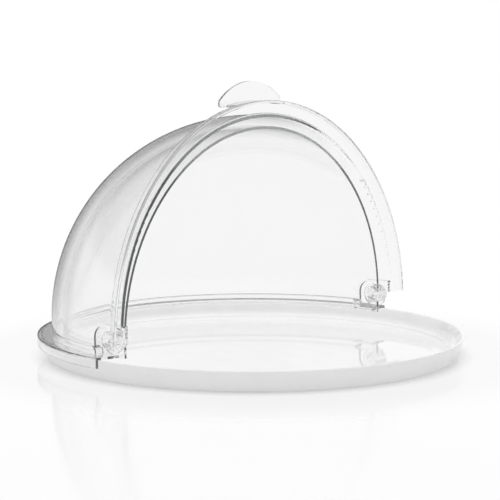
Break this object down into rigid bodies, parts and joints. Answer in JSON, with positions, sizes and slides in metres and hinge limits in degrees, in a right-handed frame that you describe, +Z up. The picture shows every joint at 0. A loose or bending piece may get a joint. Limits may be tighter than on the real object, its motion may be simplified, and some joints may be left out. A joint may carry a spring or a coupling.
{
  "type": "roll-top food cover",
  "caption": "Round white serving tray under a clear roll-top cover: the front half dome rolls back over the fixed rear half dome on side pivots.",
  "frame": {"origin": "middle of the tray's underside, on the table", "axes": "+Z up, X along the roll axis of the lid, -Y towards the opening at the front"},
  "size_m": [0.3858, 0.3827, 0.2449],
  "materials": {
    "tray_white": "glossy moulded white",
    "cover_clear": "clear, polished",
    "lid_clear": "clear, polished",
    "hinge_clear": "clear, polished"
  },
  "bodies": {
    "tray": {"tray": "tray_white"},
    "cover": {"rear_cover": "cover_clear", "left_pivot_pin": "hinge_clear", "right_pivot_pin": "hinge_clear", "left_thrust_washer": "hinge_clear", "right_thrust_washer": "hinge_clear", "left_pin_cap": "hinge_clear", "right_pin_cap": "hinge_clear"},
    "lid": {"roll_lid": "lid_clear"}
  },
  "joints": [
    {"name": "cover_lift", "type": "slide", "parent": "tray", "child": "cover", "axis": [0, 0, 1], "range_m": [0, 0.25]},
    {"name": "lid_roll", "type": "hinge", "parent": "cover", "child": "lid", "pos_m": [0, 0, 0.035], "axis": [1, 0, 0], "range_deg": [0, 91.75]}
  ]
}
